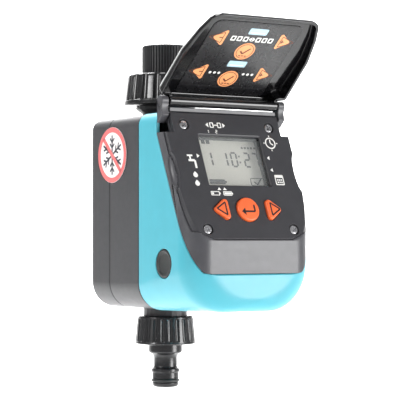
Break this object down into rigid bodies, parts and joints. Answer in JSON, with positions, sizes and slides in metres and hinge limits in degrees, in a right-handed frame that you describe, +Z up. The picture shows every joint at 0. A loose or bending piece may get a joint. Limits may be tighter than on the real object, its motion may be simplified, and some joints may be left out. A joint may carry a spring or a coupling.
{
  "type": "irrigation controller",
  "caption": "Battery irrigation timer for a garden tap: charcoal and teal casing, pull-off control module with display and keys, hinged lid, threaded inlet collar and hose connector outlet.",
  "frame": {"origin": "centre of the tap adaptor's top face, on the axis the water follows down", "axes": "+Z up along the water path, -Y out of the display side towards the user, +X to the user's right"},
  "size_m": [0.086, 0.1338, 0.2127],
  "materials": {
    "casing": "satin, charcoal",
    "cowl": "satin, teal",
    "module": "fine grain, dark grey",
    "plate": "satin, dark grey",
    "lid": "gloss, black",
    "nut": "semi-gloss, black",
    "inner": "matte, black",
    "film": "printed film",
    "sticker": "printed label",
    "clear": "clear window",
    "display": "grey display glass",
    "key": "orange",
    "seal": "black",
    "membrane": "translucent grey",
    "valve": "white moulding",
    "steel": "bright",
    "brass": "bright",
    "coil": "enamelled winding",
    "board": "green solder mask",
    "battery": "wrapped jacket",
    "red_wire": "insulated",
    "black_wire": "insulated",
    "mesh": "fine mesh"
  },
  "bodies": {
    "casing": {"case_gasket": "seal", "case_screw_1": "steel", "case_screw_2": "steel", "case_screw_3": "steel", "case_screw_4": "steel", "coil_black_wire": "black_wire", "coil_red_wire": "red_wire", "contact_block": "inner", "contact_pin_left": "brass", "contact_pin_right": "brass", "cowl_screw_1": "steel", "cowl_screw_2": "steel", "diaphragm": "seal", "diaphragm_spring": "steel", "front_cowl": "cowl", "hose_nipple": "nut", "inlet_filter": "mesh", "inlet_washer": "seal", "main_case": "casing", "nipple_o_ring": "seal", "nut_clip": "steel", "outlet_washer": "seal", "plunger_spring": "steel", "rear_cover": "casing", "sensor_socket": "inner", "side_label": "sticker", "solenoid_coil": "coil", "solenoid_frame": "steel", "tap_adaptor": "inner", "valve_body": "valve", "valve_bonnet": "valve"},
    "control_module": {"module_body": "module", "face_plate": "plate", "keypad_membrane": "membrane", "lcd_window": "clear", "lcd_frame": "inner", "lcd_panel": "display", "circuit_board": "board", "battery": "battery", "battery_snap": "inner", "battery_strap": "inner", "battery_red_wire": "red_wire", "battery_black_wire": "black_wire", "plate_screw_1": "steel", "plate_screw_2": "steel", "plate_screw_3": "steel", "plate_screw_4": "steel", "hinge_rod": "steel"},
    "lid_leaf": {"lid": "lid", "lid_label": "film"},
    "minus_key": {"minus_button": "key"},
    "enter_key": {"enter_button": "key"},
    "plus_key": {"plus_button": "key"},
    "port_plug": {"sensor_plug": "seal"},
    "tap_collar": {"tap_nut": "nut"},
    "hose_collar": {"hose_nut": "nut"},
    "plunger": {"solenoid_plunger": "steel"},
    "disc": {"valve_disc": "inner"}
  },
  "joints": [
    {"name": "module_pull", "type": "slide", "parent": "casing", "child": "control_module", "axis": [0, -1, 0], "range_m": [0, 0.055]},
    {"name": "lid_hinge", "type": "hinge", "parent": "control_module", "child": "lid_leaf", "pos_m": [0, -0.06175, -0.0388], "axis": [1, 0, 0], "range_deg": [0, 106.5]},
    {"name": "minus_press", "type": "slide", "parent": "control_module", "child": "minus_key", "axis": [0, 0.9208, -0.3899], "range_m": [0, 0.0012], "stiffness_N_per_m": 400},
    {"name": "enter_press", "type": "slide", "parent": "control_module", "child": "enter_key", "axis": [0, 0.9208, -0.3899], "range_m": [0, 0.0012], "stiffness_N_per_m": 400},
    {"name": "plus_press", "type": "slide", "parent": "control_module", "child": "plus_key", "axis": [0, 0.9208, -0.3899], "range_m": [0, 0.0012], "stiffness_N_per_m": 400},
    {"name": "plug_pull", "type": "slide", "parent": "casing", "child": "port_plug", "axis": [-1, 0, 0], "range_m": [0, 0.01]},
    {"name": "tap_nut_spin", "type": "hinge", "parent": "casing", "child": "tap_collar", "pos_m": [0, 0, -0.027], "axis": [0, 0, 1], "continuous": true},
    {"name": "hose_nut_spin", "type": "hinge", "parent": "casing", "child": "hose_collar", "pos_m": [0, 0, -0.171], "axis": [0, 0, 1], "continuous": true},
    {"name": "plunger_lift", "type": "slide", "parent": "casing", "child": "plunger", "axis": [0, 0, 1], "range_m": [0, 0.0015], "stiffness_N_per_m": 200, "deforming": ["plunger_spring"]},
    {"name": "disc_lift", "type": "slide", "parent": "casing", "child": "disc", "axis": [0, 0, 1], "range_m": [0, 0.0018], "stiffness_N_per_m": 200, "deforming": ["diaphragm_spring"]}
  ]
}
